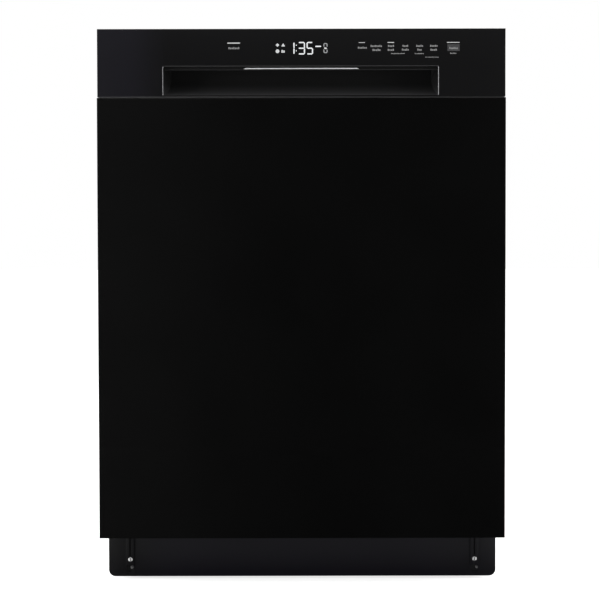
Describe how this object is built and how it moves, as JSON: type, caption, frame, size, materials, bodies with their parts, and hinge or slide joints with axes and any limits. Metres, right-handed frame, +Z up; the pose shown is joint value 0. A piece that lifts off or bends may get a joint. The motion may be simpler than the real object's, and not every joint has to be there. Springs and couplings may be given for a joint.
{
  "type": "built-in dishwasher",
  "caption": "Built-in dishwasher with a hinged door, a pocket handle in its control panel, two sliding wire racks, spray arms, a dispenser and levelling feet.",
  "frame": {"origin": "on the floor, under the middle of the machine's overall box", "axes": "+Z up, -Y the front (door side), +X the viewer's right when facing the door"},
  "size_m": [0.603, 0.625, 0.83],
  "materials": {
    "moulded_black": "matte",
    "stainless": "satin",
    "zinc_sheet": "satin",
    "black_sheet": "gloss",
    "black_fascia": "gloss",
    "kick_sheet": "satin",
    "seal_rubber": "matte",
    "felt": "matte",
    "grey_plastic": "satin",
    "dark_plastic": "satin",
    "white_plastic": "satin",
    "rack_wire": "satin",
    "fold_wire": "satin",
    "steel": "satin",
    "bright_strip": "polished",
    "circuit_board": "satin",
    "blue_cap": "gloss",
    "screw_steel": "satin"
  },
  "bodies": {
    "cabinet": {"base_tray": "moulded_black", "tub": "stainless", "tub_frame": "steel", "side_panels": "zinc_sheet", "rear_cover": "zinc_sheet", "sound_pad": "felt", "door_gasket": "seal_rubber", "mounting_brackets": "steel", "kick_plate": "kick_sheet", "kick_screws": "screw_steel", "hinge_brackets": "steel", "latch_strike": "steel", "sump": "dark_plastic", "filter_plate": "stainless", "wash_pump": "dark_plastic", "drain_pump": "dark_plastic", "supply_duct": "grey_plastic", "ceiling_spray": "grey_plastic", "outer_rails": "stainless", "inlet_valve": "white_plastic", "junction_box": "zinc_sheet", "balance_springs": "steel"},
    "door": {"door_panel": "black_sheet", "control_panel": "black_fascia", "handle_pocket": "black_fascia", "handle_strip": "bright_strip", "control_board": "circuit_board", "door_liner": "stainless", "door_insulation": "felt", "dispenser_body": "grey_plastic", "door_vent": "dark_plastic", "hinge_arms": "steel"},
    "balance_link": {"balance_links": "steel"},
    "latch": {"latch_lever": "steel"},
    "detergent_cover": {"dispenser_lid": "grey_plastic"},
    "rinse_cap": {"rinse_aid_cap": "blue_cap"},
    "lower_rack": {"lower_rack_floor": "rack_wire", "lower_rack_walls": "rack_wire", "lower_tines": "rack_wire", "wheel_carriers": "dark_plastic", "cutlery_basket": "grey_plastic"},
    "tine_row": {"folding_tines": "fold_wire"},
    "front_wheels": {"wheels_front": "white_plastic"},
    "middle_wheels": {"wheels_middle": "white_plastic"},
    "rear_wheels": {"wheels_rear": "white_plastic"},
    "rail_slides": {"middle_rails": "stainless"},
    "upper_rack": {"upper_rack_floor": "rack_wire", "upper_rack_walls": "rack_wire", "upper_tines": "rack_wire", "rack_hangers": "dark_plastic", "upper_feed": "grey_plastic"},
    "shelf": {"cup_shelf": "fold_wire"},
    "upper_arm": {"upper_spray_arm": "grey_plastic"},
    "lower_arm": {"lower_spray_arm": "grey_plastic"},
    "filter": {"filter_cylinder": "dark_plastic"},
    "float": {"overfill_float": "white_plastic"},
    "front_left_foot": {"foot_front_left": "steel"},
    "front_right_foot": {"foot_front_right": "steel"},
    "rear_left_foot": {"foot_rear_left": "steel"},
    "rear_right_foot": {"foot_rear_right": "steel"}
  },
  "joints": [
    {"name": "door_hinge", "type": "hinge", "parent": "cabinet", "child": "door", "pos_m": [0, -0.2725, 0.118], "axis": [1, 0, 0], "range_deg": [0, 90], "stiffness_Nm_per_rad": 18},
    {"name": "balance_link_slide", "type": "slide", "parent": "cabinet", "child": "balance_link", "axis": [0, -1, 0], "range_m": [0, 0.0566], "deforming": ["balance_springs"]},
    {"name": "latch_pivot", "type": "hinge", "parent": "door", "child": "latch", "pos_m": [0, -0.2785, 0.8185], "axis": [1, 0, 0], "range_deg": [0, 12], "stiffness_Nm_per_rad": 0.05, "springref_deg": -5.73},
    {"name": "detergent_cover_slide", "type": "slide", "parent": "door", "child": "detergent_cover", "axis": [0, 0, -1], "range_m": [0, 0.066]},
    {"name": "rinse_cap_turn", "type": "hinge", "parent": "door", "child": "rinse_cap", "pos_m": [0.052, -0.2565, 0.529], "axis": [0, -1, 0], "range_deg": [0, 90]},
    {"name": "lower_rack_slide", "type": "slide", "parent": "cabinet", "child": "lower_rack", "axis": [0, -1, 0], "range_m": [0, 0.252]},
    {"name": "front_wheel_spin", "type": "hinge", "parent": "lower_rack", "child": "front_wheels", "pos_m": [0, -0.1225, 0.17], "axis": [1, 0, 0], "range_deg": [0, 720]},
    {"name": "middle_wheel_spin", "type": "hinge", "parent": "lower_rack", "child": "middle_wheels", "pos_m": [0, 0.0435, 0.17], "axis": [1, 0, 0], "range_deg": [0, 720]},
    {"name": "rear_wheel_spin", "type": "hinge", "parent": "lower_rack", "child": "rear_wheels", "pos_m": [0, 0.2095, 0.17], "axis": [1, 0, 0], "range_deg": [0, 720]},
    {"name": "tine_row_fold", "type": "hinge", "parent": "lower_rack", "child": "tine_row", "pos_m": [0, 0.0435, 0.2187], "axis": [-1, 0, 0], "range_deg": [0, 82]},
    {"name": "rail_slide", "type": "slide", "parent": "cabinet", "child": "rail_slides", "axis": [0, -1, 0], "range_m": [0, 0.205]},
    {"name": "upper_rack_slide", "type": "slide", "parent": "cabinet", "child": "upper_rack", "axis": [0, -1, 0], "range_m": [0, 0.409]},
    {"name": "shelf_fold", "type": "hinge", "parent": "upper_rack", "child": "shelf", "pos_m": [-0.2392, 0, 0.582], "axis": [0, -1, 0], "range_deg": [0, 85]},
    {"name": "upper_arm_spin", "type": "hinge", "parent": "upper_rack", "child": "upper_arm", "pos_m": [0, 0.0135, 0.485], "axis": [0, 0, 1], "continuous": true},
    {"name": "lower_arm_spin", "type": "hinge", "parent": "cabinet", "child": "lower_arm", "pos_m": [0, 0.0135, 0.165], "axis": [0, 0, 1], "continuous": true},
    {"name": "filter_twist", "type": "hinge", "parent": "cabinet", "child": "filter", "pos_m": [0.0431, -0.04166, 0.13], "axis": [0, 0, 1], "range_deg": [0, 90]},
    {"name": "float_lift", "type": "slide", "parent": "cabinet", "child": "float", "axis": [0, 0, 1], "range_m": [0, 0.008]},
    {"name": "front_left_foot_screw", "type": "slide", "parent": "cabinet", "child": "front_left_foot", "axis": [0, 0, -1], "range_m": [0, 0.04]},
    {"name": "front_right_foot_screw", "type": "slide", "parent": "cabinet", "child": "front_right_foot", "axis": [0, 0, -1], "range_m": [0, 0.04]},
    {"name": "rear_left_foot_screw", "type": "slide", "parent": "cabinet", "child": "rear_left_foot", "axis": [0, 0, -1], "range_m": [0, 0.04]},
    {"name": "rear_right_foot_screw", "type": "slide", "parent": "cabinet", "child": "rear_right_foot", "axis": [0, 0, -1], "range_m": [0, 0.04]}
  ],
  "couplings": [
    {"joint": "balance_link_slide", "follows": "door_hinge", "m_per_rad": 0.036},
    {"joint": "lower_rack_slide", "follows": "door_hinge", "m_per_rad": 0.16},
    {"joint": "front_wheel_spin", "follows": "door_hinge", "ratio": 8},
    {"joint": "middle_wheel_spin", "follows": "door_hinge", "ratio": 8},
    {"joint": "rear_wheel_spin", "follows": "door_hinge", "ratio": 8},
    {"joint": "rail_slide", "follows": "door_hinge", "m_per_rad": 0.13},
    {"joint": "upper_rack_slide", "follows": "door_hinge", "m_per_rad": 0.26}
  ]
}
